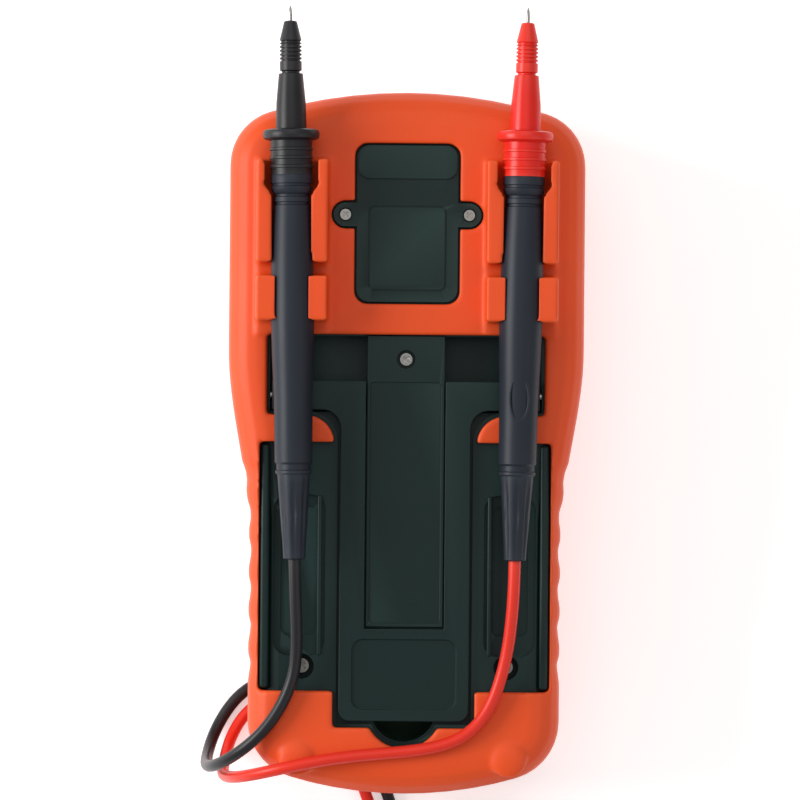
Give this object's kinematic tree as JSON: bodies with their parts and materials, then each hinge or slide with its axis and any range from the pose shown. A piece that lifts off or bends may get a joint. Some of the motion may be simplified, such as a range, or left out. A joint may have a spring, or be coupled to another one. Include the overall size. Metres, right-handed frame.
{
  "type": "digital multimeter",
  "caption": "Handheld digital multimeter in a rubber boot, face down, with test probes clipped to its back, a fold-out tilt stand, and leads that end in coiled test plugs.",
  "frame": {"origin": "on the surface that the front bumpers stand on, under the middle of the meter and its probes", "axes": "+Y along the meter towards the probe tips, +Z out of its back, +X to the right as its back is seen"},
  "size_m": [0.149, 0.2742, 0.0638],
  "materials": {
    "boot_rubber": "satin, softly moulded",
    "case_green": "satin fine grain",
    "case_dark": "fine grain",
    "screw_steel": "bright",
    "lens_clear": "polished",
    "display_glass": "polished",
    "strip_rubber": "matt",
    "board_green": "solder mask",
    "black_plastic": "satin",
    "shunt_metal": "drawn wire",
    "fuse_ceramic": "ceramic",
    "contact_brass": "plated",
    "battery_jacket": "satin",
    "jack_plastic": "gloss",
    "rotor_plastic": "matt",
    "key_orange": "matt",
    "key_grey": "matt",
    "key_yellow": "matt",
    "handle_rubber": "satin",
    "red_plastic": "satin",
    "lead_black": "satin",
    "lead_red": "satin",
    "tie_rubber": "matt"
  },
  "bodies": {
    "meter": {"boot": "boot_rubber", "rear_case": "case_green", "front_case": "case_dark", "battery_cover": "case_green", "battery_cover_screw": "screw_steel", "hanger_plate": "case_green", "hanger_screws": "screw_steel", "case_screws": "screw_steel", "stand_pins": "screw_steel", "display_lens": "lens_clear", "display_panel": "display_glass", "display_frame": "case_dark", "contact_strips": "strip_rubber", "main_board": "board_green", "converter_chip": "black_plastic", "buzzer": "black_plastic", "current_shunt": "shunt_metal", "small_fuse": "fuse_ceramic", "large_fuse": "fuse_ceramic", "fuse_clips": "contact_brass", "battery": "battery_jacket", "battery_snap": "black_plastic", "jack_bezels": "jack_plastic", "jack_sleeves": "contact_brass", "key_switches": "black_plastic", "black_needle": "screw_steel", "black_nose": "black_plastic", "black_handle": "handle_rubber", "black_relief": "handle_rubber", "red_needle": "screw_steel", "red_nose": "red_plastic", "red_handle": "handle_rubber", "red_relief": "handle_rubber", "black_lead": "lead_black", "black_coil": "lead_black", "black_tie": "tie_rubber", "black_plug": "black_plastic", "black_plug_pin": "contact_brass", "red_lead": "lead_red", "red_coil": "lead_red", "red_tie": "tie_rubber", "red_plug": "red_plastic", "red_plug_pin": "contact_brass"},
    "stand": {"tilt_stand": "case_green"},
    "knob": {"selector_knob": "black_plastic", "contact_rotor": "rotor_plastic", "rotor_contacts": "contact_brass", "detent_balls": "screw_steel"},
    "power_key": {"key_power": "key_orange"},
    "hold_key": {"key_hold": "key_grey"},
    "range_key": {"key_range": "key_grey"},
    "light_key": {"key_light": "key_yellow"}
  },
  "joints": [
    {"name": "stand_hinge", "type": "hinge", "parent": "meter", "child": "stand", "pos_m": [0, 0.00172, 0.04335], "axis": [-1, 0, 0], "range_deg": [0, 60]},
    {"name": "knob_turn", "type": "hinge", "parent": "meter", "child": "knob", "pos_m": [0, -0.02488, 0.0055], "axis": [0, 0, -1], "continuous": true},
    {"name": "power_press", "type": "slide", "parent": "meter", "child": "power_key", "axis": [0, 0, 1], "range_m": [0, 0.0006], "stiffness_N_per_m": 800, "springref_m": -0.0003},
    {"name": "hold_press", "type": "slide", "parent": "meter", "child": "hold_key", "axis": [0, 0, 1], "range_m": [0, 0.0006], "stiffness_N_per_m": 800, "springref_m": -0.0003},
    {"name": "range_press", "type": "slide", "parent": "meter", "child": "range_key", "axis": [0, 0, 1], "range_m": [0, 0.0006], "stiffness_N_per_m": 800, "springref_m": -0.0003},
    {"name": "light_press", "type": "slide", "parent": "meter", "child": "light_key", "axis": [0, 0, 1], "range_m": [0, 0.0006], "stiffness_N_per_m": 800, "springref_m": -0.0003}
  ]
}
